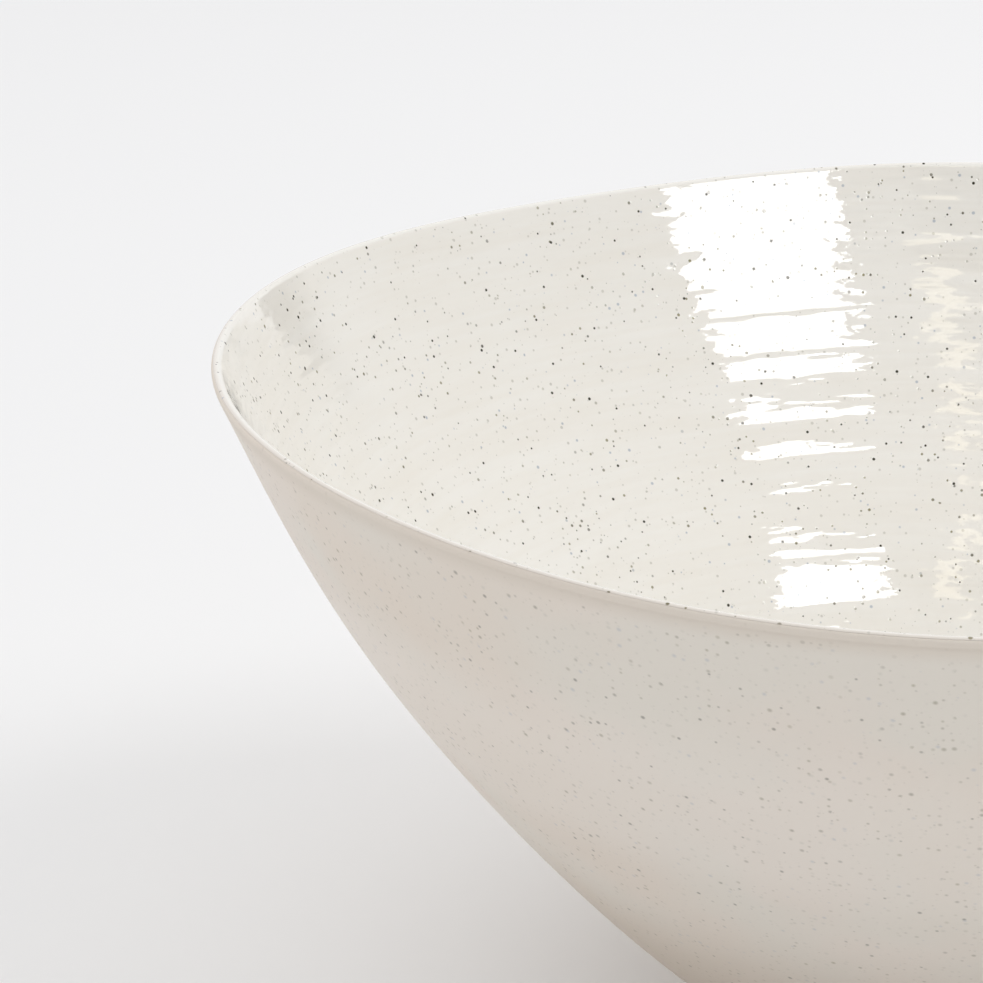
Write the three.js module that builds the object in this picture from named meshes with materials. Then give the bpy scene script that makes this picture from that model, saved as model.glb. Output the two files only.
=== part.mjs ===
// A wide, thin-lipped serving bowl, thrown in speckled stoneware and glazed on the inside only.
// Two layers are modelled as a maker would name them: the fired clay body with its turned foot ring, and
// the glossy glaze coat that lines the inside and just covers the lip. The clay keeps the spiral of shallow
// rings that the potter's fingers leave inside, and the lip wavers a little in height.
// Units are millimetres. +Z is up, and the origin is the centre of the foot ring's resting face.

import * as THREE from "three";

const { degToRad, smoothstep } = THREE.MathUtils;

// Overall form, up to the glaze over the lip
const rimRadius = 143.8;
const bowlHeight = 130.3;

// Turned foot
const footRadius = 54;
const footHeight = 7;
const footRingWidth = 7;
const footRecessDepth = 4.5;
const footEdgeRound = 1.2;

// Outside of the wall: the reach and the lean of its two ends, and its swing in below and out above
const wallStartReach = 64;
const wallStartLean = degToRad(36.4);
const wallEndReach = 42;
const wallEndLean = degToRad(60);
const wallSwing = 1.58;

// Thickness of the clay, from the foot up to the lip
const baseThickness = 7;
const baseTaperLength = 43;
const waistThinning = 1.7;
const waistAlong = 38;
const waistSpread = 24;
const wallThickness = 4;
const lipTaperLength = 76;
const lipThickness = 1.3;

// Floor inside, and the reach of its curve at the middle and where it meets the wall
const floorThickness = 6;
const floorMiddleReach = 26;
const floorEndReach = 9;

// Glaze coat, and how far over the crest of the lip it comes
const glazeThickness = 0.45;
const coatClearance = 0.3;
const glazePastCrest = degToRad(30);

// Finger rings inside, as one spiral that fades out in the middle of the floor and below the lip
const ringPitch = 9.5;
const ringDepth = 0.15;
const ringFade = 14;

// The rim's unevenness from the potter's hands: height waves round the lip
const rimWaves = [
  { count: 3, cosine: -0.5, sine: -0.75 },
  { count: 4, cosine: 0.28, sine: 0.44 },
  { count: 5, cosine: 0.22, sine: 0.57 },
];

// Fineness of the mesh
const stepsAround = 36;
const stepsPerRing = 3;
const stepsUpOutside = 14;
const stepsAcrossFloor = 5;
const stepsOverLip = 4;
const stepsBelowGlaze = 3;
const stepsPerEdge = 3;

const lipRadius = lipThickness / 2;
const coatThickness = coatClearance + glazeThickness;

/** A unit vector at an angle above the level. */
function facing(angle) {
  return new THREE.Vector2(Math.cos(angle), Math.sin(angle));
}

/** The direction square to the way along a path, on its left. */
function leftOf(along) {
  return new THREE.Vector2(-along.y, along.x);
}

/** The outside of the wall, from the root of the foot ring up to the lip. */
class OuterWall extends THREE.Curve {
  constructor() {
    super();
    const start = new THREE.Vector2(footRadius, footHeight);
    const crest = bowlHeight - coatThickness;
    const end = new THREE.Vector2(rimRadius, crest - lipRadius * (1 + Math.cos(wallEndLean)));
    this.plain = new THREE.CubicBezierCurve(
      start,
      start.clone().addScaledVector(facing(wallStartLean), wallStartReach),
      end.clone().addScaledVector(facing(wallEndLean), -wallEndReach),
      end,
    );
  }

  getPoint(share) {
    const swing = wallSwing * Math.sin(share * 2 * Math.PI);
    return this.plain.getPoint(share).addScaledVector(leftOf(this.plain.getTangent(share)), swing);
  }
}

/** The inside of the clay wall, which stands off its outside by the wall's thickness. */
class InnerWall extends THREE.Curve {
  constructor(outer) {
    super();
    this.outer = outer;
    this.length = outer.getLength();
  }

  /** Thickness of the clay at a distance up the wall from the foot. */
  thickness(along) {
    const body = lipThickness + (wallThickness - lipThickness) * smoothstep(this.length - along, 0, lipTaperLength);
    const base = (baseThickness - wallThickness) * Math.max(1 - along / baseTaperLength, 0) ** 2;
    const waist = waistThinning * Math.exp(-(((along - waistAlong) / waistSpread) ** 2));
    return body + base - waist;
  }

  getPoint(share) {
    const across = leftOf(this.outer.getTangentAt(share));
    return this.outer.getPointAt(share).addScaledVector(across, this.thickness(share * this.length));
  }
}

const outerWall = new OuterWall();
const innerWall = new InnerWall(outerWall);
const wallLength = outerWall.getLength();

/** A place on a half outline: its point, the direction out of the clay, and how it takes the rings. */
function station(point, outward = new THREE.Vector2(), along = 0, ringed = 0) {
  return { point, outward, along, ringed };
}

/** The floor inside, from its middle to where the wall starts. */
function floorStations() {
  const end = innerWall.getPoint(0);
  const middle = new THREE.Vector2(0, footRecessDepth + floorThickness);
  const curve = new THREE.CubicBezierCurve(
    middle,
    middle.clone().addScaledVector(facing(0), floorMiddleReach),
    end.clone().addScaledVector(innerWall.getTangent(0), -floorEndReach),
    end,
  );
  const length = curve.getLength();
  const stations = [station(middle, new THREE.Vector2(0, 1))];
  for (let i = 1; i < stepsAcrossFloor; i++) {
    const share = i / stepsAcrossFloor;
    const point = curve.getPointAt(share);
    const outward = leftOf(curve.getTangentAt(share));
    stations.push(station(point, outward, (share - 1) * length, smoothstep(point.x, 0, ringFade)));
  }
  return stations;
}

/** The inside of the wall, with a few stations in every ring. */
function wallStations() {
  const steps = Math.round((wallLength / ringPitch) * stepsPerRing);
  return Array.from({ length: steps + 1 }, (_, i) => {
    const share = i / steps;
    const along = share * wallLength;
    const fade = smoothstep(wallLength - along, 0, ringFade);
    return station(innerWall.getPoint(share), leftOf(innerWall.getTangent(share)), along, fade);
  });
}

/** Stations round the lip after one facing and up to another. */
function lipStations(start, end, steps) {
  const across = leftOf(outerWall.getTangent(1));
  const centre = outerWall.getPoint(1).addScaledVector(across, lipRadius);
  return Array.from({ length: steps }, (_, i) => {
    const outward = facing(start + ((end - start) * (i + 1)) / steps);
    return station(centre.clone().addScaledVector(outward, lipRadius), outward);
  });
}

/** The stretch of the clay's inside that the glaze covers, from the floor's middle to past the crest. */
function glazedStations() {
  const lipStart = leftOf(outerWall.getTangent(1)).angle();
  const glazeEnd = Math.PI / 2 - glazePastCrest;
  return [...floorStations(), ...wallStations(), ...lipStations(lipStart, glazeEnd, stepsOverLip)];
}

/** Stations moved out of the clay by a distance, square to its surface. */
function standOff(stations, distance) {
  return stations.map(({ point, outward, along, ringed }) =>
    station(point.clone().addScaledVector(outward, distance), outward, along, ringed),
  );
}

/** The underside: the recess inside the foot ring, its resting face and its outer side. */
function footStations() {
  const innerRadius = footRadius - footRingWidth;
  const edge = footEdgeRound;
  const path = new THREE.Path();
  path.moveTo(0, footRecessDepth);
  path.lineTo(innerRadius - edge, footRecessDepth);
  path.absarc(innerRadius - edge, footRecessDepth - edge, edge, Math.PI / 2, 0, true);
  path.lineTo(innerRadius, edge);
  path.absarc(innerRadius + edge, edge, edge, Math.PI, 1.5 * Math.PI, false);
  path.lineTo(footRadius - edge, 0);
  path.absarc(footRadius - edge, edge, edge, -Math.PI / 2, 0, false);
  return path.getPoints(stepsPerEdge / 2).map((point) => station(point));
}

/** Height of the rim's wave at an angle round the bowl. */
function rimWave(angle) {
  return rimWaves.reduce(
    (sum, wave) => sum + wave.cosine * Math.cos(wave.count * angle) + wave.sine * Math.sin(wave.count * angle),
    0,
  );
}

/** Rise of the finger rings at a distance up the wall and an angle round the bowl, as one spiral. */
function ringRise(along, angle) {
  return (ringDepth / 2) * Math.cos((along / ringPitch) * 2 * Math.PI + angle);
}

/** Turns a closed half outline into a solid, with its rings, and the rim's wave fading out to the foot. */
function thrown(outline) {
  const geometry = new THREE.LatheGeometry(outline.map(({ point }) => point), stepsAround);
  // LatheGeometry turns about Y, so the part is laid over to stand on Z.
  geometry.rotateX(Math.PI / 2);
  const position = geometry.getAttribute("position");
  for (let i = 0; i < position.count; i++) {
    const { point, outward, along, ringed } = outline[i % outline.length];
    const angle = Math.atan2(position.getY(i), position.getX(i));
    const rise = ringed * ringRise(along, angle);
    const radius = point.x + outward.x * rise;
    const level = point.y + outward.y * rise;
    const lift = rimWave(angle) * Math.max(level / bowlHeight, 0) ** 3;
    position.setXYZ(i, radius * Math.cos(angle), radius * Math.sin(angle), level + lift);
  }
  geometry.computeVertexNormals();
  return geometry;
}

/** The fired clay: floor, wall, lip and foot ring in one piece, as it came off the wheel. */
function makeClayBody() {
  const outside = outerWall.getSpacedPoints(stepsUpOutside).map((point) => station(point));
  const glazeEnd = Math.PI / 2 - glazePastCrest;
  const lipEnd = leftOf(outerWall.getTangent(1)).angle() - Math.PI;
  const bareLip = lipStations(glazeEnd, lipEnd, stepsBelowGlaze).slice(0, -1);
  const inside = [...glazedStations(), ...bareLip].reverse();
  const material = new THREE.MeshStandardMaterial({ color: 0xd9d2c6, roughness: 0.75, metalness: 0 });
  const mesh = new THREE.Mesh(thrown([...footStations(), ...outside, ...inside]), material);
  mesh.name = "clay_body";
  return mesh;
}

/** The glossy coat, poured inside and drained over the lip, of one thickness all over. */
function makeInnerGlaze() {
  const glazed = glazedStations();
  const underside = standOff(glazed, coatClearance);
  const surface = standOff(glazed, coatThickness).reverse();
  const material = new THREE.MeshStandardMaterial({ color: 0xebe8e0, roughness: 0.08, metalness: 0 });
  const mesh = new THREE.Mesh(thrown([...underside, ...surface]), material);
  mesh.name = "inner_glaze";
  return mesh;
}

const bowl = new THREE.Group();
bowl.add(makeClayBody(), makeInnerGlaze());

export default bowl;
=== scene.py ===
"""A thrown serving bowl in speckled clay, glazed inside, on a pale studio floor.

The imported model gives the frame. This script builds the fine surfaces of its two layers, the finishes, the
studio and the camera. Lengths are metres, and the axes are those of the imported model.
"""

import logging
import math
from dataclasses import dataclass
from enum import Enum

import bpy  # noqa: E402
import numpy as np  # noqa: E402
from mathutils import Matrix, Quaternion, Vector  # noqa: E402

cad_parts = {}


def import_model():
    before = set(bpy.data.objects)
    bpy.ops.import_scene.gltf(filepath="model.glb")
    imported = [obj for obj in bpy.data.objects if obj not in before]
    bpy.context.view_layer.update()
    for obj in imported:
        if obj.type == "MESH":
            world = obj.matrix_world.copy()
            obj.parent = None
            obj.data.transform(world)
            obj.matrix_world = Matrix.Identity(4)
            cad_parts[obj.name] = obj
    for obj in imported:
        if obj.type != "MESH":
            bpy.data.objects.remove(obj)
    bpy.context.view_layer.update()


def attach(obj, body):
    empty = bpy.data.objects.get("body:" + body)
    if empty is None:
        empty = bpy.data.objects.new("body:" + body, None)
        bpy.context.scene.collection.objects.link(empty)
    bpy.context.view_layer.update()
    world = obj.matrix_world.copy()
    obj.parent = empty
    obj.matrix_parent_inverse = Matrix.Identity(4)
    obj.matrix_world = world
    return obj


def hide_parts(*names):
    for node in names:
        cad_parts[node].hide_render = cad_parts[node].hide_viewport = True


LOG = logging.getLogger("bowl")
MM = 0.001
Socket = bpy.types.NodeSocket
Value = bpy.types.NodeSocket | float | tuple


class Slot(Enum):
    """The record's material slots."""

    CLAY = "speckled_clay"
    GLAZE = "inner_glaze"


class LampRole(Enum):
    """Whether a lamp lights the bowl or is only mirrored in its glaze."""

    LIGHTS = "lights"
    MIRRORED = "mirrored"


class Outline:
    """A half outline in radius and height, asked for points by the distance along it."""

    def __init__(self, points: np.ndarray, start: float = 0.0) -> None:
        """Measures the outline.

        Args:
            points: closely spaced points (n, 2).
            start: the distance that the first point counts as.
        """
        self.points = points
        steps = np.linalg.norm(np.diff(points, axis=0), axis=1)
        self.run = start + np.concatenate([[0], np.cumsum(steps)])
        along = np.gradient(points, self.run, axis=0)
        along /= np.linalg.norm(along, axis=1)[:, None]
        self.normal = np.stack([-along[:, 1], along[:, 0]], 1)

    def at(self, run: np.ndarray) -> np.ndarray:
        """Points at distances along the outline, (n, 2)."""
        return np.stack([np.interp(run, self.run, self.points[:, i]) for i in (0, 1)], 1)

    def square(self, run: np.ndarray) -> np.ndarray:
        """Unit vectors to the left of the way along, at distances along the outline, (n, 2)."""
        side = np.stack([np.interp(run, self.run, self.normal[:, i]) for i in (0, 1)], 1)
        return side / np.linalg.norm(side, axis=1)[:, None]


def eased(share: np.ndarray) -> np.ndarray:
    """A share from 0 to 1 with soft ends."""
    held = np.clip(share, 0, 1)
    return held * held * (3 - 2 * held)


def bezier(a: np.ndarray, b: np.ndarray, c: np.ndarray, d: np.ndarray, steps: int) -> np.ndarray:
    """A cubic curve through two ends and two handles.

    Args:
        a: the first end.
        b: the first handle.
        c: the second handle.
        d: the second end.
        steps: how many stretches the curve is cut into.

    Returns:
        Points (steps + 1, 2).
    """
    t = np.linspace(0, 1, steps + 1)[:, None]
    rest = 1 - t
    return rest**3 * a + 3 * rest**2 * t * b + 3 * rest * t**2 * c + t**3 * d


def way(lean: float) -> np.ndarray:
    """A unit vector at a lean above the level."""
    return np.array([math.cos(lean), math.sin(lean)])


@dataclass(frozen=True)
class BowlForm:
    """The thrown form, in metres, as half outlines in radius and height."""

    rim_radius: float = 143.8 * MM
    height: float = 130.3 * MM
    foot_radius: float = 54 * MM
    foot_height: float = 7 * MM
    foot_ring_width: float = 7 * MM
    foot_recess: float = 4.5 * MM
    foot_edge: float = 1.2 * MM
    floor: float = 6 * MM
    floor_reach: float = 26 * MM
    floor_end_reach: float = 9 * MM
    glaze: float = 0.45 * MM
    clearance: float = 0.3 * MM
    start_reach: float = 64 * MM
    start_lean: float = math.radians(36.4)
    end_reach: float = 42 * MM
    end_lean: float = math.radians(60)
    swell: float = 1.58 * MM
    lip: float = 1.3 * MM
    wall: float = 4 * MM
    base: float = 7 * MM
    lip_taper: float = 76 * MM
    base_taper: float = 43 * MM
    waist: float = 1.7 * MM
    waist_at: float = 38 * MM
    waist_spread: float = 24 * MM
    veil_low: float = math.radians(-20)
    veil_high: float = math.radians(115)
    rim_waves: tuple = ((3, -0.5 * MM, -0.75 * MM), (4, 0.28 * MM, 0.44 * MM), (5, 0.22 * MM, 0.57 * MM))
    fineness: int = 1600
    floor_fineness: int = 400
    lip_fineness: int = 200
    lean_span: int = 4
    edge_points: int = 6
    recess_points: int = 14

    @property
    def coat(self) -> float:
        """How far the glazed surface stands off the clay."""
        return self.clearance + self.glaze

    def outer_wall(self) -> Outline:
        """Draws the outside of the wall.

        Returns:
            The outline from the foot's root to the lip.
        """
        start = np.array([self.foot_radius, self.foot_height])
        crest = self.height - self.coat
        end = np.array([self.rim_radius, crest - self.lip / 2 * (1 + math.cos(self.end_lean))])
        leave = start + way(self.start_lean) * self.start_reach
        arrive = end - way(self.end_lean) * self.end_reach
        plain = Outline(bezier(start, leave, arrive, end, self.fineness))
        share = np.linspace(0, 1, self.fineness + 1)[:, None]
        return Outline(plain.points + plain.normal * self.swell * np.sin(share * math.tau))

    def thickness(self, outer: Outline) -> np.ndarray:
        """Works out the clay wall's thickness.

        Args:
            outer: the outside of the wall, of n points.

        Returns:
            The thickness at each of its points, (n,).
        """
        left = outer.run[-1] - outer.run
        thick = self.lip + (self.wall - self.lip) * eased(left / self.lip_taper)
        thick += (self.base - self.wall) * np.clip(1 - outer.run / self.base_taper, 0, None) ** 2
        return thick - self.waist * np.exp(-(((outer.run - self.waist_at) / self.waist_spread) ** 2))

    def veil(self, facing: np.ndarray) -> np.ndarray:
        """How far what is seen stands off the clay's plain form, by the way that it faces."""
        return self.coat * eased((facing - self.veil_low) / (self.veil_high - self.veil_low))

    def inside(self, stand: float) -> Outline:
        """A surface that stands off the inside of the clay, from the floor's middle up and over the lip.

        Args:
            stand: how far it stands off.

        Returns:
            The outline, whose distance is 0 where the wall starts.
        """
        outer = self.outer_wall()
        wall = outer.points + outer.normal * self.thickness(outer)[:, None]
        floor_top = np.array([0, self.foot_recess + self.floor])
        first = wall[self.lean_span] - wall[0]
        lean = math.atan2(first[1], first[0])
        floor = bezier(
            floor_top,
            floor_top + way(0) * self.floor_reach,
            wall[0] - way(lean) * self.floor_end_reach,
            wall[0],
            self.floor_fineness,
        )
        centre = outer.points[-1] + outer.normal[-1] * self.lip / 2
        top = wall[-1] - wall[-1 - self.lean_span]
        begin = math.atan2(top[1], top[0]) + math.pi / 2
        end = math.atan2(-outer.normal[-1, 1], -outer.normal[-1, 0])
        turn = np.linspace(begin, end, self.lip_fineness)[1:, None]
        lip = centre + np.hstack([np.cos(turn), np.sin(turn)]) * self.lip / 2
        clay = Outline(np.vstack([floor[:-1], wall, lip]))
        moved = clay.points + clay.normal * stand
        moved[0, 0] = 0
        layer = Outline(moved)
        return Outline(moved, -layer.run[len(floor) - 1])

    def rounded(self, radius: float, height: float, start: float, turn: float) -> np.ndarray:
        """Draws one rounded edge of the foot ring.

        Args:
            radius: how far from the axis the edge's centre is.
            height: the height of the edge's centre.
            start: the angle at which the edge starts.
            turn: the angle that it turns through.

        Returns:
            Points (edge_points, 2).
        """
        angle = np.linspace(start, start + turn, self.edge_points)
        return np.array([radius, height]) + self.foot_edge * np.stack([np.cos(angle), np.sin(angle)], 1)

    def foot(self) -> np.ndarray:
        """Draws the underside: the recess, the resting face and the ring's outer side.

        Returns:
            Points (n, 2) from the middle outwards.
        """
        quarter = math.pi / 2
        edge = self.foot_edge
        inner = self.foot_radius - self.foot_ring_width
        across = np.linspace(0, inner - edge, self.recess_points)[:-1]
        recess = np.stack([across, np.full_like(across, self.foot_recess)], 1)
        return np.vstack([
            recess,
            self.rounded(inner - edge, self.foot_recess - edge, quarter, -quarter),
            self.rounded(inner + edge, edge, math.pi, quarter),
            self.rounded(self.foot_radius - edge, edge, -quarter, quarter),
        ])

    def rim_wave(self, angle: np.ndarray) -> np.ndarray:
        """Height of the lip's wave at an angle round the bowl."""
        return sum(c * np.cos(n * angle) + s * np.sin(n * angle) for n, c, s in self.rim_waves)


@dataclass(frozen=True)
class FingerRing:
    """One pass of the finger up the wall: start in mm, crown and lean in degrees, and edge as a power."""

    start: float
    crown: float = 0.7
    edge: float = 5.0
    lean: float = 0.0


@dataclass(frozen=True)
class ThrowingMarks:
    """The spiral of finger rings inside the wall, as a rise of the surface along its normal."""

    rings: tuple = (
        FingerRing(-46, 1.2, 3),
        FingerRing(-37, 1.2, 3),
        FingerRing(-28, 1.0, 3),
        FingerRing(-19, 1.0, 4),
        FingerRing(-9, 0.9, 4),
        FingerRing(1, 0.8),
        FingerRing(11),
        FingerRing(22),
        FingerRing(32),
        FingerRing(42, 0.7, 5, -1.2),
        FingerRing(52.1, 1.2, 5, 1.9),
        FingerRing(62.8, 2.4, 1.0, -0.3),
        FingerRing(66.6, 2.8, 0.8, -1.5),
        FingerRing(77.6, 2.8, 0.9, -1.4),
        FingerRing(86.2, 2.5, 1.2, 0.8),
        FingerRing(94.6, 2.8, 1.0, 0.3),
        FingerRing(105.0, 1.8, 2.5, 0.6),
        FingerRing(110.8, 1.3, 6, 0.3),
        FingerRing(119.9, 0.5, 6),
        FingerRing(127.0, 0.9, 8),
        FingerRing(135.5, 0.4, 4),
        FingerRing(144.4, 0.4, 4),
    )
    last: float = 153 * MM
    pitch: float = 7 * MM
    home: float = math.radians(112)
    join: float = 0.25
    fineness: int = 9000
    centre_fade: float = 14 * MM

    def table(self) -> tuple:
        """Adds up the rings' slopes.

        Returns:
            Distances along the wall, and the rise at each.
        """
        run = np.linspace(self.rings[0].start * MM, self.last, self.fineness)
        slope = np.zeros_like(run)
        ends = [ring.start * MM for ring in self.rings[1:]] + [self.last]
        for ring, end in zip(self.rings, ends):
            share = (run - ring.start * MM) / (end - ring.start * MM)
            held = np.clip(share, 0, 1)
            tilt = ring.crown * (1 - (ring.edge + 1) * held**ring.edge) + ring.lean
            slope += np.where((share >= 0) & (share < 1), np.radians(tilt), 0)
        rise = np.cumsum(slope) * (run[1] - run[0])
        return run, rise - rise[-1]

    def rise(self, run: np.ndarray, radius: np.ndarray, angle: np.ndarray) -> np.ndarray:
        """How far the surface stands proud of its plain form.

        Args:
            run: distances along the wall, (n,).
            radius: the same points' distances from the axis, (n,).
            angle: angles round the bowl, (m,).

        Returns:
            The rise, (n, m).
        """
        at, height = self.table()
        turn = (angle - self.home + math.pi) % math.tau / math.tau - 0.5
        passes = []
        for whole in (0, 1):
            along = run[:, None] + self.pitch * (turn[None, :] - whole)
            passes.append(np.interp(along, at, height, left=height[0], right=0.0))
        share = eased((turn - 0.5 + self.join) / self.join)[None, :]
        middle = eased(radius / self.centre_fade)[:, None]
        return (passes[0] * (1 - share) + passes[1] * share) * middle


@dataclass(frozen=True)
class Turner:
    """Closes rows of points round the axis into one smooth skin."""

    form: BowlForm
    around: int = 400

    @property
    def angle(self) -> np.ndarray:
        """The angles of the columns."""
        return np.arange(self.around) * math.tau / self.around

    def solid(self, name: str, rows: np.ndarray, climb: np.ndarray) -> bpy.types.Object:
        """A solid from rows that start and end near the axis.

        Args:
            name: the piece's name.
            rows: radius and height, (rows, 1 or around, 2), in order from the top's middle to the bottom's.
            climb: each row's distance along the wall, kept for the finishes.

        Returns:
            The new object.
        """
        spread = np.broadcast_to(rows, (len(rows), self.around, 2))
        radius, height = spread[..., 0], spread[..., 1]
        lift = self.form.rim_wave(self.angle)[None, :] * np.clip(height / self.form.height, 0, None) ** 3
        ring = np.stack([radius * np.cos(self.angle), radius * np.sin(self.angle), height + lift], -1)[1:-1]
        ends = np.array([[0, 0, height[0].mean()], [0, 0, height[-1].mean()]])
        verts = np.vstack([ring.reshape(-1, 3), ends])
        count = len(ring)
        row, col = np.meshgrid(np.arange(count - 1), np.arange(self.around), indexing="ij")
        nxt = (col + 1) % self.around
        here, below = row * self.around, (row + 1) * self.around
        quads = np.stack([here + col, below + col, below + nxt, here + nxt], -1).reshape(-1, 4)
        first, last = len(verts) - 2, len(verts) - 1
        bottom = (count - 1) * self.around
        faces = quads.tolist()
        for i in range(self.around):
            j = (i + 1) % self.around
            faces.append([first, i, j])
            faces.append([last, bottom + j, bottom + i])
        mesh = bpy.data.meshes.new(name)
        mesh.from_pydata(verts.tolist(), [], faces)
        mesh.polygons.foreach_set("use_smooth", np.ones(len(mesh.polygons), dtype=bool))
        kept = mesh.attributes.new("climb", "FLOAT", "POINT")
        kept.data.foreach_set("value", np.append(np.repeat(climb[1:-1], self.around), [climb[0], climb[-1]]))
        mesh.update()
        piece = bpy.data.objects.new(name, mesh)
        bpy.context.scene.collection.objects.link(piece)
        return piece


@dataclass(frozen=True)
class Scatter:
    """One kind of speck: spacing, least and largest radius, how rare the large ones are, and soft edge."""

    cell: float
    least: float
    largest: float
    rarity: float
    soft: float


@dataclass(frozen=True)
class Patches:
    """Soft patches in the clay: how many to the metre, detail, and the span of noise they fade over."""

    scale: float
    detail: float
    low: float
    high: float


@dataclass(frozen=True)
class DrawnMarks:
    """Marks drawn out along the throwing rings: their length, height and detail, and an offset."""

    long: float
    tall: float
    detail: float
    shift: float = 0.0


class Wiring:
    """A short hand for adding nodes to a tree."""

    # Nearest to the axis that a direction round the bowl is worked out
    axis_clear: float = 10 * MM
    # Places of the colours among the sockets of a Mix node
    mix_first: int = 6
    mix_second: int = 7
    mix_result: int = 2

    def __init__(self, tree: bpy.types.NodeTree) -> None:
        """Takes the tree that the nodes go to."""
        self.tree = tree

    def join(self, source: Value, target: Socket) -> None:
        """Links a socket, or sets a plain value.

        Args:
            source: the socket or the value.
            target: the input that takes it.
        """
        if isinstance(source, bpy.types.NodeSocket):
            self.tree.links.new(source, target)
        else:
            target.default_value = source

    def maths(self, kind: str, a: Value, b: Value = 0.0, c: Value = 0.0) -> Socket:
        """Does one sum on numbers.

        Args:
            kind: the sum.
            a: the first number.
            b: the second number.
            c: the third number.

        Returns:
            The result.
        """
        node = self.tree.nodes.new("ShaderNodeMath")
        node.operation = kind
        for value, socket in zip((a, b, c), node.inputs):
            self.join(value, socket)
        return node.outputs[0]

    def times(self, a: Value, b: Value) -> Socket:
        """The product of two numbers."""
        return self.maths("MULTIPLY", a, b)

    def plus(self, a: Value, b: Value) -> Socket:
        """The sum of two numbers."""
        return self.maths("ADD", a, b)

    def ramp(self, value: Value, low: float, high: float, start: float = 0.0, end: float = 1.0) -> Socket:
        """Takes a value from one span to another with soft ends.

        Args:
            value: the value.
            low: where the first span begins.
            high: where the first span ends.
            start: the result at low.
            end: the result at high.

        Returns:
            The result.
        """
        node = self.tree.nodes.new("ShaderNodeMapRange")
        node.interpolation_type = "SMOOTHSTEP"
        for given, socket in zip((value, low, high, start, end), node.inputs):
            self.join(given, socket)
        return node.outputs[0]

    def blend(self, share: Value, a: Value, b: Value) -> Socket:
        """Mixes two colours.

        Args:
            share: how much of the second one, from 0 to 1.
            a: the first colour.
            b: the second colour.

        Returns:
            The mixed colour.
        """
        node = self.tree.nodes.new("ShaderNodeMix")
        node.data_type = "RGBA"
        self.join(share, node.inputs[0])
        self.join(a, node.inputs[self.mix_first])
        self.join(b, node.inputs[self.mix_second])
        return node.outputs[self.mix_result]

    def vector(self, kind: str, a: Value, b: Value = (0, 0, 0)) -> Socket:
        """Does one sum on vectors.

        Args:
            kind: the sum.
            a: the vector.
            b: the second vector, or the number that SCALE multiplies by.

        Returns:
            The resulting vector.
        """
        node = self.tree.nodes.new("ShaderNodeVectorMath")
        node.operation = kind
        self.join(a, node.inputs[0])
        self.join(b, node.inputs["Scale" if kind == "SCALE" else 1])
        return node.outputs[0]

    def split(self, vector: Value) -> tuple:
        """Takes a vector apart.

        Args:
            vector: the vector.

        Returns:
            Its three numbers.
        """
        node = self.tree.nodes.new("ShaderNodeSeparateXYZ")
        self.join(vector, node.inputs[0])
        return tuple(node.outputs)

    def place(self) -> Socket:
        """The point on the piece, in metres."""
        return self.tree.nodes.new("ShaderNodeTexCoord").outputs["Object"]

    def climb(self) -> Socket:
        """Reads the distance along the wall.

        Returns:
            The distance in metres.
        """
        node = self.tree.nodes.new("ShaderNodeAttribute")
        node.attribute_name = "climb"
        return node.outputs["Fac"]

    def ray(self, kind: str) -> Socket:
        """Whether a ray is of a kind, as 0 or 1."""
        return self.tree.nodes.new("ShaderNodeLightPath").outputs[kind]

    def seen(self) -> Socket:
        """Whether a ray shows the backdrop: straight, mirrored or through glass, as 0 or 1."""
        shown = self.plus(self.ray("Is Camera Ray"), self.ray("Is Glossy Ray"))
        return self.maths("MINIMUM", self.plus(shown, self.ray("Is Transmission Ray")), 1.0)

    def noise(self, vector: Value, scale: float, detail: float) -> Socket:
        """Spreads soft noise over a vector.

        Args:
            vector: where the noise is read.
            scale: how many waves there are to one unit.
            detail: how many finer waves are added.

        Returns:
            A number from 0 to 1.
        """
        node = self.tree.nodes.new("ShaderNodeTexNoise")
        self.join(vector, node.inputs["Vector"])
        node.inputs["Scale"].default_value = scale
        node.inputs["Detail"].default_value = detail
        return node.outputs[0]

    def patches(self, patches: Patches, least: float = 0.0) -> Socket:
        """Spreads soft patches through the clay.

        Args:
            patches: their sizes.
            least: the number between the patches.

        Returns:
            A number that reaches 1 in the patches.
        """
        noise = self.noise(self.place(), patches.scale, patches.detail)
        return self.ramp(noise, patches.low, patches.high, least, 1.0)

    def drawn(self, marks: DrawnMarks) -> Socket:
        """Draws noise out along the throwing rings.

        Args:
            marks: the marks' sizes.

        Returns:
            A number from 0 to 1.
        """
        x, y, _ = self.split(self.place())
        radius = self.maths("SQRT", self.plus(self.times(x, x), self.times(y, y)))
        safe = self.maths("MAXIMUM", radius, self.axis_clear)
        wide = BowlForm().rim_radius / marks.long
        joined = self.tree.nodes.new("ShaderNodeCombineXYZ")
        self.join(self.plus(self.times(self.maths("DIVIDE", x, safe), wide), marks.shift), joined.inputs[0])
        self.join(self.times(self.maths("DIVIDE", y, safe), wide), joined.inputs[1])
        self.join(self.times(self.climb(), 1 / marks.tall), joined.inputs[2])
        return self.noise(joined.outputs[0], 1.0, marks.detail)

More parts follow.
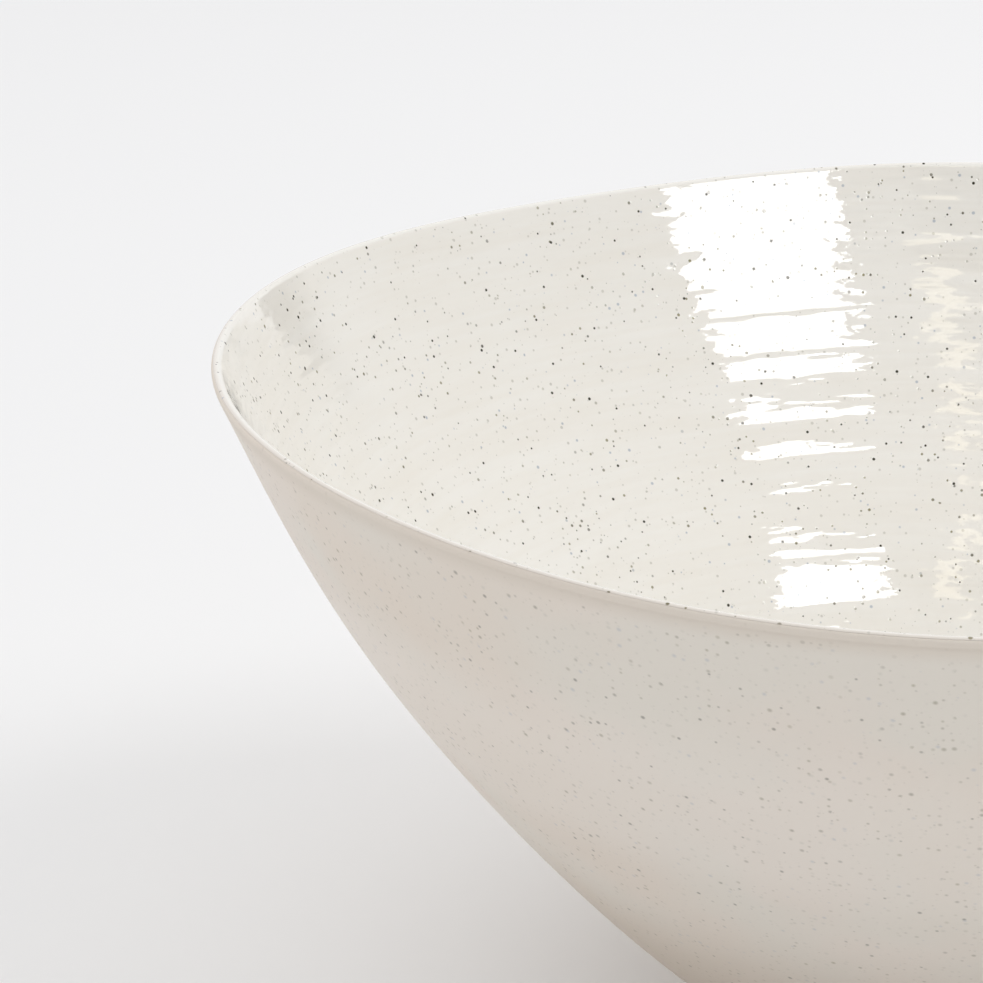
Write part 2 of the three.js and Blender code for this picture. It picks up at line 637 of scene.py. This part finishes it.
    def specks(self, kind: Scatter, blur: float) -> tuple:
        """Scatters round specks of mixed sizes.

        Args:
            kind: the specks' sizes and spacing.
            blur: how many times wider than under glaze a speck's edge is.

        Returns:
            A mask from 0 to 1, and a number from 0 to 1 that differs from speck to speck.
        """
        node = self.tree.nodes.new("ShaderNodeTexVoronoi")
        self.join(self.place(), node.inputs["Vector"])
        node.inputs["Scale"].default_value = 1 / kind.cell
        pick = self.tree.nodes.new("ShaderNodeSeparateColor")
        self.join(node.outputs["Color"], pick.inputs[0])
        chance, tone, _ = pick.outputs
        size = self.maths("POWER", chance, kind.rarity)
        spread = (kind.largest - kind.least) / kind.cell
        reach = self.maths("MULTIPLY_ADD", size, spread, kind.least / kind.cell)
        inside = self.maths("SUBTRACT", reach, node.outputs["Distance"])
        half_edge = kind.soft * blur / kind.cell / 2
        return self.ramp(inside, -half_edge, half_edge), tone

    def turned_aside(self, normal: Value, noise: Value, reach: float) -> Socket:
        """Turns a normal a little to either side round the bowl.

        Args:
            normal: the normal to start from.
            noise: a number from 0 to 1, with 0.5 for no turn.
            reach: how far the normal moves from one end of the noise to the other.

        Returns:
            The new normal.
        """
        around = self.vector("NORMALIZE", self.vector("CROSS_PRODUCT", (0, 0, 1), normal))
        aside = self.vector("SCALE", around, self.times(self.plus(noise, -0.5), reach))
        return self.vector("NORMALIZE", self.vector("ADD", normal, aside))

    def bump(self, height: Value, distance: float, under: Value | None = None) -> Socket:
        """Bumps a normal by a height.

        Args:
            height: a number from 0 to 1.
            distance: how high 1 is.
            under: the normal that is bumped, if it isn't the mesh's own.

        Returns:
            The bumped normal.
        """
        node = self.tree.nodes.new("ShaderNodeBump")
        node.inputs["Strength"].default_value = 1.0
        node.inputs["Distance"].default_value = distance
        self.join(height, node.inputs["Height"])
        if under is not None:
            self.join(under, node.inputs["Normal"])
        return node.outputs[0]


class Coating(Wiring):
    """The wiring of a new material with one shader."""

    def __init__(self, name: str) -> None:
        """Starts the material.

        Args:
            name: the material's name.
        """
        self.material = bpy.data.materials.new(name)
        self.material.use_nodes = True
        super().__init__(self.material.node_tree)
        self.tree.nodes.clear()
        self.shader = self.tree.nodes.new("ShaderNodeBsdfPrincipled")
        self.output = self.tree.nodes.new("ShaderNodeOutputMaterial")
        self.tree.links.new(self.shader.outputs[0], self.output.inputs[0])

    def give(self, name: str, value: Value) -> None:
        """Gives one of the shader's inputs a value or a link."""
        self.join(value, self.shader.inputs[name])

    def cover(self, piece: bpy.types.Object) -> None:
        """Puts the material on a piece as its only one."""
        piece.data.materials.clear()
        piece.data.materials.append(self.material)


@dataclass(frozen=True)
class Specks:
    """The iron and slate specks that run all through the clay."""

    black: tuple = (0.042, 0.036, 0.020, 1)
    olive: tuple = (0.19, 0.160, 0.042, 1)
    grey: tuple = (0.50, 0.48, 0.42, 1)
    blue: tuple = (0.28, 0.34, 0.44, 1)
    blue_tones: tuple = (0.74, 0.80)
    slate: Scatter = Scatter(1.72 * MM, 0.06 * MM, 0.36 * MM, 1.6, 0.27 * MM)
    slate_share: float = 0.62
    fine: Scatter = Scatter(1.52 * MM, 0.01 * MM, 0.38 * MM, 2.6, 0.23 * MM)
    fine_share: float = 0.9
    large: Scatter = Scatter(3.6 * MM, 0.20 * MM, 0.37 * MM, 1.5, 0.16 * MM)
    crowd: Patches = Patches(70.0, 1.0, 0.35, 0.62)
    crowd_least: float = 0.35

    def over(self, w: Wiring, ground: Value, strength: float, blur: float = 1.0) -> tuple:
        """Lays the specks over a colour.

        Args:
            w: the material's wiring.
            ground: the colour under them.
            strength: how strongly they show, from 0 to 1.
            blur: how many times wider their edges are than under glaze.

        Returns:
            The colour with its specks, and the mask of the dark ones.
        """
        crowd = w.patches(self.crowd, self.crowd_least)
        slate, tone = w.specks(self.slate, blur)
        cold = w.blend(w.ramp(tone, *self.blue_tones), self.grey, self.blue)
        colour = w.blend(w.times(slate, self.slate_share * strength), ground, cold)
        fine, tone = w.specks(self.fine, blur)
        iron = w.blend(tone, self.black, self.olive)
        colour = w.blend(w.times(w.times(fine, crowd), self.fine_share * strength), colour, iron)
        large, _ = w.specks(self.large, blur)
        colour = w.blend(w.times(large, strength), colour, self.black)
        return colour, w.maths("MAXIMUM", large, fine)


@dataclass(frozen=True)
class ClayFinish:
    """Bare fired clay, matt and warm grey: specks, faint clouds, a band of painted light half way up and
    painted shade darker at the foot.
    """

    pink: tuple = (0.775, 0.706, 0.636, 1)
    green: tuple = (0.755, 0.710, 0.640, 1)
    green_clouds: Patches = Patches(28.0, 2.0, 0.4, 0.6)
    warm: tuple = (0.760, 0.682, 0.600, 1)
    warm_clouds: Patches = Patches(17.0, 3.0, 0.45, 0.7)
    # Painted light: a paler band half way up the outside wall, standing in for light the wall gets there,
    # not a tone of the clay.
    pale: tuple = (0.830, 0.775, 0.710, 1)
    painted_lit_band_share: float = 0.5
    painted_lit_band_starts: tuple = (62 * MM, 76 * MM)
    painted_lit_band_stops: tuple = (110 * MM, 92 * MM)
    # Painted shade: the clay grows darker towards the foot, standing in for shade near the floor.
    foot: tuple = (0.600, 0.525, 0.445, 1)
    painted_foot_shade_fades: tuple = (62 * MM, 25 * MM)
    lip: tuple = (0.700, 0.630, 0.550, 1)
    lip_share: float = 0.8
    lip_band: float = 4.2 * MM
    speck_strength: float = 0.5
    speck_blur: float = 2.2
    roughness: float = 0.66
    grain_scale: float = 2200.0
    grain_detail: float = 2.0
    grain_height: float = 0.035 * MM
    turning: DrawnMarks = DrawnMarks(60 * MM, 0.9 * MM, 2.0)
    turning_height: float = 0.03 * MM

    def colour(self, w: Wiring) -> Socket:
        """Mixes the clay's colour.

        Args:
            w: the material's wiring.

        Returns:
            The colour, with specks, a band of painted light half way up, painted shade towards the foot, and
            the lip.
        """
        _, _, height = w.split(w.place())
        ground = w.blend(w.patches(self.green_clouds), self.pink, self.green)
        ground = w.blend(w.patches(self.warm_clouds), ground, self.warm)
        # Painted light: lightens the clay in a band half way up the wall.
        middle = w.times(w.ramp(height, *self.painted_lit_band_starts), w.ramp(height, *self.painted_lit_band_stops))
        ground = w.blend(w.times(middle, self.painted_lit_band_share), ground, self.pale)
        # Painted shade: darkens the clay towards the foot.
        ground = w.blend(w.ramp(height, *self.painted_foot_shade_fades), ground, self.foot)
        speckled, _ = Specks().over(w, ground, self.speck_strength, self.speck_blur)
        near_lip = w.ramp(w.climb(), self.lip_band, 0.0)
        return w.blend(w.times(near_lip, self.lip_share), speckled, self.lip)

    def dress(self, piece: bpy.types.Object) -> None:
        """Puts the finish on a piece.

        Args:
            piece: the piece.
        """
        w = Coating("speckled_clay")
        w.give("Base Color", self.colour(w))
        w.give("Roughness", self.roughness)
        grain = w.bump(w.noise(w.place(), self.grain_scale, self.grain_detail), self.grain_height)
        w.give("Normal", w.bump(w.drawn(self.turning), self.turning_height, grain))
        w.cover(piece)


@dataclass(frozen=True)
class GlazeFinish:
    """The clear glossy glaze over pale clay, with fine draw lines that follow the throwing."""

    base: tuple = (0.893, 0.874, 0.826, 1)
    thin: tuple = (0.868, 0.838, 0.776, 1)
    clouds: DrawnMarks = DrawnMarks(40 * MM, 9 * MM, 3.0)
    cloud_span: tuple = (0.35, 0.7)
    cloud_share: float = 0.6
    lines: DrawnMarks = DrawnMarks(50 * MM, 1.6 * MM, 2.0)
    line_span: tuple = (0.3, 0.7)
    line_share: float = 0.4
    lip: tuple = (0.70, 0.645, 0.58, 1)
    lip_band: tuple = (151.9 * MM, 153.1 * MM)
    roughness: float = 0.02
    refraction: float = 1.5
    draw: DrawnMarks = DrawnMarks(12 * MM, 2.2 * MM, 1.0)
    draw_height: float = 0.085 * MM
    hollows: DrawnMarks = DrawnMarks(26 * MM, 5 * MM, 1.0, 7.0)
    hollow_height: float = 0.16 * MM
    pit_depth: float = 0.04 * MM
    sway: DrawnMarks = DrawnMarks(4.5 * MM, 1.7 * MM, 3.0, 3.0)
    sway_reach: float = 0.125

    def ground(self, w: Wiring) -> Socket:
        """Mixes the colour under the specks.

        Args:
            w: the material's wiring.

        Returns:
            The colour, thinner along the draw lines and over the lip.
        """
        clouds = w.ramp(w.drawn(self.clouds), *self.cloud_span)
        lines = w.ramp(w.drawn(self.lines), *self.line_span)
        share = w.plus(w.times(clouds, self.cloud_share), w.times(lines, self.line_share))
        return w.blend(w.ramp(w.climb(), *self.lip_band), w.blend(share, self.base, self.thin), self.lip)

    def normal(self, w: Wiring, specks: Value) -> Socket:
        """Makes the surface uneven.

        Args:
            w: the material's wiring.
            specks: the mask of the dark specks, each of which is a tiny pit.

        Returns:
            The normal.
        """
        normal = w.bump(w.drawn(self.draw), self.draw_height)
        normal = w.bump(w.drawn(self.hollows), self.hollow_height, normal)
        normal = w.bump(w.maths("SUBTRACT", 1.0, specks), self.pit_depth, normal)
        return w.turned_aside(normal, w.drawn(self.sway), self.sway_reach)

    def dress(self, piece: bpy.types.Object) -> None:
        """Puts the finish on a piece.

        Args:
            piece: the piece.
        """
        w = Coating("inner_glaze")
        colour, specks = Specks().over(w, self.ground(w), 1.0)
        w.give("Base Color", colour)
        w.give("Roughness", self.roughness)
        w.give("IOR", self.refraction)
        w.give("Normal", self.normal(w, specks))
        w.cover(piece)


@dataclass(frozen=True)
class Bowl:
    """The bowl's two layers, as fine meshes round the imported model."""

    form: BowlForm = BowlForm()
    marks: ThrowingMarks = ThrowingMarks()
    row: float = 0.45 * MM
    coarse_row: float = 3 * MM
    outside_row: float = 1.2 * MM
    lip_row: float = 0.08 * MM
    lip_zone: float = 4.5 * MM
    glaze_end: float = math.radians(68)
    glaze_thins: float = math.radians(35)
    end_thickness: float = 0.03 * MM
    end_gap: float = 0.02 * MM
    bare_blend: float = math.radians(8)

    @property
    def turner(self) -> Turner:
        """The maker of the meshes."""
        return Turner(self.form)

    def facing(self, outline: Outline, run: np.ndarray) -> np.ndarray:
        """The way an inside outline faces at distances along it, as an angle above the level outwards."""
        angle = np.arctan2(outline.normal[:, 1], outline.normal[:, 0])
        return np.interp(run, outline.run, angle)

    def run_at(self, outline: Outline, facing: float) -> float:
        """Finds where on the lip an inside outline faces an angle.

        Args:
            outline: the outline.
            facing: the angle above the level outwards.

        Returns:
            The distance along the outline.
        """
        angle = np.arctan2(outline.normal[:, 1], outline.normal[:, 0])
        lip = outline.run > outline.run[-1] - 2 * self.lip_zone
        return float(np.interp(-facing, -angle[lip], outline.run[lip]))

    def inside_runs(self, outline: Outline, row: float, end: float) -> np.ndarray:
        """Spaces the rows of an inside surface, close together on the lip.

        Args:
            outline: the outline.
            row: the distance between rows on the wall.
            end: the distance along the outline at which the rows end.

        Returns:
            Distances along the outline.
        """
        turn = end - self.lip_zone
        wall = np.linspace(outline.run[0], turn, int((turn - outline.run[0]) / row))
        lip = np.arange(turn, end, self.lip_row)[1:]
        return np.concatenate([wall, lip, [end]])

    def raised(self, outline: Outline, runs: np.ndarray, stand: np.ndarray) -> np.ndarray:
        """Puts the throwing marks on an inside surface.

        Args:
            outline: the surface's outline.
            runs: the rows' distances along it, (n,).
            stand: how far the surface stands off the outline at each row, (n,).

        Returns:
            The rows, (n, around, 2).
        """
        point, side = outline.at(runs), outline.square(runs)
        rise = self.marks.rise(runs, point[:, 0], self.turner.angle)
        rows = point[:, None, :] + side[:, None, :] * (rise + stand[:, None])[..., None]
        rows[0, :, 0] = 0
        return rows

    def layers(self, facing: np.ndarray) -> tuple:
        """Where the layers lie over the clay's plain form, by the way they face.

        Args:
            facing: angles above the level outwards.

        Returns:
            The glaze's upper side, its underside and the clay's surface, which meet where the glaze ends.
        """
        covered = eased((facing - self.glaze_end) / self.glaze_thins)
        thickness = self.end_thickness + (self.form.glaze - self.end_thickness) * covered
        gap = self.end_gap + (self.form.clearance - self.end_gap) * covered
        sunk = (thickness + gap) * eased((facing - self.glaze_end + self.bare_blend) / self.bare_blend)
        upper = self.form.veil(facing)
        return upper, upper - thickness, upper - sunk

    def clay(self) -> bpy.types.Object:
        """Makes the clay body with its foot ring.

        Returns:
            The piece.
        """
        outer = self.form.outer_wall()
        length = outer.run[-1]
        runs = np.linspace(0, length, int(length / self.outside_row))
        outside = outer.at(runs)
        inside = self.form.inside(0.0)
        inner_runs = self.inside_runs(inside, self.coarse_row, inside.run[-1])[:-1]
        _, _, clay = self.layers(self.facing(inside, inner_runs))
        inner = self.raised(inside, inner_runs, clay)
        foot = self.form.foot()
        below = np.vstack([outside[::-1], foot[::-1]])
        rows = np.concatenate([inner, np.broadcast_to(below[:, None, :], (len(below), inner.shape[1], 2))])
        climb = np.concatenate([
            np.zeros(len(inner_runs)),
            length - runs[::-1],
            np.full(len(foot), length),
        ])
        piece = self.turner.solid("speckled_clay_body", rows, climb)
        ClayFinish().dress(piece)
        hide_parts("clay_body")
        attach(piece, "root")
        return piece

    def glaze(self) -> bpy.types.Object:
        """Makes the glaze coat, with the finger rings that show through it.

        Returns:
            The piece.
        """
        surface = self.form.inside(self.form.coat)
        runs = self.inside_runs(surface, self.row, self.run_at(surface, self.glaze_end))
        upper, _, _ = self.layers(self.facing(surface, runs))
        top = self.raised(surface, runs, upper - self.form.coat)
        base = self.form.inside(self.form.clearance)
        base_runs = self.inside_runs(base, self.coarse_row, self.run_at(base, self.glaze_end))
        _, lower, _ = self.layers(self.facing(base, base_runs))
        under = self.raised(base, base_runs, lower - self.form.clearance)
        rows = np.concatenate([top, under[::-1]])
        climb = np.concatenate([runs, base_runs[::-1]])
        piece = self.turner.solid("glazed_inside", rows, climb)
        GlazeFinish().dress(piece)
        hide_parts("inner_glaze")
        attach(piece, "root")
        return piece


@dataclass(frozen=True)
class Portrait:
    """The camera at the photograph's viewing angle, close on the left half of the bowl."""

    picture_side: float = 983
    focal_pixels: float = 3200
    sensor: float = 36
    nearest: float = 0.01
    distance: float = 0.596
    elevation: float = math.radians(16.3)
    pitch: float = math.radians(-19.08)
    yaw: float = math.radians(9.35)

    def place(self, aim: float) -> None:
        """Makes the camera.

        Args:
            aim: the height of the middle of the mouth, which the distance is measured from.
        """
        data = bpy.data.cameras.new("portrait")
        data.sensor_width = self.sensor
        data.lens = self.sensor * self.focal_pixels / self.picture_side
        data.clip_start = self.nearest
        camera = bpy.data.objects.new("portrait", data)
        bpy.context.scene.collection.objects.link(camera)
        back = self.distance * math.cos(self.elevation)
        camera.location = (0, -back, aim + self.distance * math.sin(self.elevation))
        camera.rotation_euler = (math.pi / 2 + self.pitch, 0, self.yaw)
        bpy.context.scene.camera = camera


@dataclass(frozen=True)
class Lamp:
    """A rectangular lamp on an upright or tilted plane that faces the bowl."""

    name: str
    place: tuple
    target: tuple
    size: tuple
    radiance: float
    colour: tuple
    role: LampRole
    slant: float = 0.0

    def hang(self) -> None:
        """Makes the lamp."""
        data = bpy.data.lights.new(self.name, "AREA")
        data.shape = "RECTANGLE"
        data.size, data.size_y = self.size
        data.energy = self.radiance * math.pi * self.size[0] * self.size[1]
        data.color = self.colour
        lamp = bpy.data.objects.new(self.name, data)
        bpy.context.scene.collection.objects.link(lamp)
        lamp.location = self.place
        turn = (Vector(self.target) - Vector(self.place)).to_track_quat("-Z", "Y")
        turn.rotate(Quaternion(Vector(self.target) - Vector(self.place), self.slant))
        lamp.rotation_euler = turn.to_euler()
        if self.role is LampRole.MIRRORED:
            lamp.visible_diffuse = False
        else:
            lamp.visible_glossy = False


@dataclass(frozen=True)
class SoftLight:
    """A wide square lamp at some distance, which lights the bowl."""

    name: str
    share: float
    azimuth: float
    elevation: float
    distance: float
    side: float
    aim: tuple = (0, 0, 0.05)
    colour: tuple = (1, 1, 1)

    def lamp(self) -> Lamp:
        """Works out the lamp.

        Returns:
            The lamp, with the radiance that gives the floor its share of light.
        """
        radiance = self.share * math.pi * self.distance**2 / (math.sin(self.elevation) * self.side**2)
        spot = np.append(way(self.azimuth) * math.cos(self.elevation), math.sin(self.elevation))
        place = tuple(spot * self.distance)
        size = (self.side, self.side)
        return Lamp(self.name, place, self.aim, size, radiance, self.colour, LampRole.LIGHTS)


@dataclass(frozen=True)
class Pane:
    """A pane on an upright plane at some distance from the bowl, which the glaze mirrors."""

    name: str
    azimuth: float
    distance: float
    across: float
    height: float
    size: tuple
    radiance: float
    colour: tuple
    slant: float = 0.0

    def lamp(self) -> Lamp:
        """Works out the lamp.

        Returns:
            The lamp that makes the pane.
        """
        facing = np.append(way(self.azimuth), 0)
        along = np.array([-facing[1], facing[0], 0])
        place = facing * self.distance + along * self.across + np.array([0, 0, self.height])
        target = tuple(place - facing)
        role = LampRole.MIRRORED
        spot = tuple(place)
        return Lamp(self.name, spot, target, self.size, self.radiance, self.colour, role, self.slant)


@dataclass(frozen=True)
class Floor:
    """A wide pale floor, which fades into the backdrop's tone far from the bowl."""

    colour: tuple = (0.845, 0.845, 0.844, 1)
    roughness: float = 0.9
    columns: int = 96
    rings: tuple = (0.3, 0.8, 2.0, 4.0, 9.0)
    fades: tuple = (0.7, 3.5)

    def mesh(self) -> bpy.types.Mesh:
        """Lays the floor's rings round the bowl.

        Returns:
            The mesh.
        """
        count = self.columns
        verts = [(0, 0, 0)]
        for radius in self.rings:
            for column in range(count):
                angle = column * math.tau / count
                verts.append((radius * math.cos(angle), radius * math.sin(angle), 0))
        faces = [(0, 1 + i, 1 + (i + 1) % count) for i in range(count)]
        for ring in range(len(self.rings) - 1):
            low = 1 + ring * count
            high = low + count
            for here in range(count):
                there = (here + 1) % count
                faces.append((low + here, high + here, high + there, low + there))
        mesh = bpy.data.meshes.new("studio_floor")
        mesh.from_pydata(verts, [], faces)
        return mesh

    def lay(self, backdrop: float, tint: tuple) -> None:
        """Makes the floor.

        Args:
            backdrop: the backdrop's strength.
            tint: the backdrop's colour.
        """
        floor = bpy.data.objects.new("studio_floor", self.mesh())
        bpy.context.scene.collection.objects.link(floor)
        w = Coating("studio_floor")
        w.give("Base Color", self.colour)
        w.give("Roughness", self.roughness)
        w.give("Specular IOR Level", 0.0)
        length = w.tree.nodes.new("ShaderNodeVectorMath")
        length.operation = "LENGTH"
        w.join(w.place(), length.inputs[0])
        far = w.ramp(length.outputs["Value"], *self.fades)
        glow = w.tree.nodes.new("ShaderNodeEmission")
        w.join(tint, glow.inputs["Color"])
        w.join(backdrop, glow.inputs["Strength"])
        mix = w.tree.nodes.new("ShaderNodeMixShader")
        w.join(w.times(far, w.seen()), mix.inputs[0])
        w.join(w.shader.outputs[0], mix.inputs[1])
        w.join(glow.outputs[0], mix.inputs[2])
        w.join(mix.outputs[0], w.output.inputs[0])
        w.cover(floor)


@dataclass(frozen=True)
class Room:
    """The room: a soft fill light, a pale backdrop, and darker and paler parts that the glaze mirrors."""

    tint: tuple = (1, 1, 1.01, 1)
    fill_level: float = 1.25
    fill_up: float = 0.82
    fill_top: float = -0.5
    fill_front: float = -0.42
    fill_right: float = -0.82
    backdrop: float = 0.865
    dark_depth: float = 0.8
    dark_rises: tuple = (math.radians(45), math.radians(55))
    dark_falls: tuple = (math.radians(64), math.radians(61))
    dark_top: tuple = (0.28, 0.20)
    shade_rises: tuple = (math.radians(-70), math.radians(-80))
    shade_ends: tuple = (0.71, 0.62)
    pale_height: float = 0.25
    pale_rises: tuple = (math.radians(61), math.radians(64))
    pale_falls: tuple = (math.radians(78), math.radians(70))

    def fill(self, w: Wiring, east: Value, north: Value, up: Value) -> Socket:
        """Works out the fill light by direction.

        Args:
            w: the world's wiring.
            east: the direction's part to the right.
            north: its part to the back.
            up: its part upwards, 0 or more.

        Returns:
            The strength.
        """
        level = w.plus(self.fill_level, w.times(up, self.fill_up))
        level = w.plus(level, w.times(w.times(up, up), self.fill_top))
        level = w.plus(level, w.times(w.maths("SUBTRACT", 1.0, north), self.fill_front / 2))
        return w.plus(level, w.times(w.plus(east, 1.0), self.fill_right / 2))

    def mirrored(self, w: Wiring, east: Value, north: Value, up: Value) -> Socket:
        """Works out how the mirrored room differs from the backdrop.

        Args:
            w: the world's wiring.
            east: the direction's part to the right.
            north: its part to the back.
            up: its part upwards, 0 or more.

        Returns:
            What is added to the backdrop's strength.
        """
        azimuth = w.maths("ARCTAN2", north, east)
        dark = w.times(w.ramp(azimuth, *self.dark_rises), w.ramp(azimuth, *self.dark_falls))
        dark = w.times(dark, w.ramp(up, *self.dark_top))
        pale = w.times(w.ramp(azimuth, *self.pale_rises), w.ramp(azimuth, *self.pale_falls))
        shade = w.times(w.ramp(azimuth, *self.shade_rises), w.ramp(up, *self.shade_ends))
        dark = w.maths("MAXIMUM", dark, shade)
        return w.plus(w.times(dark, -self.dark_depth), w.times(pale, self.pale_height))

    def fit(self) -> None:
        """Makes the world."""
        world = bpy.data.worlds.new("studio")
        bpy.context.scene.world = world
        world.use_nodes = True
        w = Wiring(world.node_tree)
        back = world.node_tree.nodes["Background"]
        w.join(self.tint, back.inputs["Color"])
        outward = w.tree.nodes.new("ShaderNodeTexCoord").outputs["Generated"]
        east, north, raw_up = w.split(outward)
        up = w.maths("MAXIMUM", raw_up, 0.0)
        seen = w.seen()
        lit = w.times(w.maths("SUBTRACT", 1.0, seen), self.fill(w, east, north, up))
        room = w.times(self.mirrored(w, east, north, up), w.ray("Is Glossy Ray"))
        backdrop = w.plus(self.backdrop, room)
        w.join(w.plus(lit, w.times(seen, backdrop)), back.inputs["Strength"])


@dataclass(frozen=True)
class Studio:
    """The floor, the room, two soft lamps, and the window panes that the glaze mirrors."""

    floor: Floor = Floor()
    room: Room = Room()
    lights: tuple = (
        SoftLight(
            "soft_light",
            share=0.164,
            azimuth=math.radians(12),
            elevation=math.radians(50),
            distance=2.2,
            side=0.9,
        ),
        SoftLight(
            "low_light",
            share=0.0105,
            azimuth=math.radians(-35),
            elevation=math.radians(10),
            distance=4.4,
            side=1.8,
        ),
    )
    panes: tuple = (
        Pane(
            "window",
            azimuth=math.radians(-53),
            distance=2.0,
            across=0.324,
            height=1.69,
            size=(1.175, 1.58),
            radiance=10.0,
            colour=(1, 1, 1),
        ),
        Pane(
            "warm_pane",
            azimuth=math.radians(-84),
            distance=2.0,
            across=0.11,
            height=2.42,
            size=(0.21, 1.16),
            radiance=3.0,
            colour=(1.0, 0.885, 0.615),
            slant=math.radians(-15),
        ),
    )

    def set_up(self) -> None:
        """Makes the floor, the room and the lamps, with plain colour handling."""
        self.floor.lay(self.room.backdrop, self.room.tint)
        self.room.fit()
        for source in self.lights + self.panes:
            source.lamp().hang()
        bpy.context.scene.view_settings.view_transform = "Standard"


def main() -> None:
    """Builds the scene in order."""
    logging.basicConfig(level=logging.INFO, format="%(name)s: %(message)s")
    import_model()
    bowl = Bowl()
    Portrait().place(bowl.form.height)
    for make in (bowl.clay, bowl.glaze):
        piece = make()
        LOG.info("%s: %d faces", piece.name, len(piece.data.polygons))
    studio = Studio()
    studio.set_up()
    LOG.info("studio: %d lamps", len(studio.lights + studio.panes))


if __name__ == "__main__":
    main()
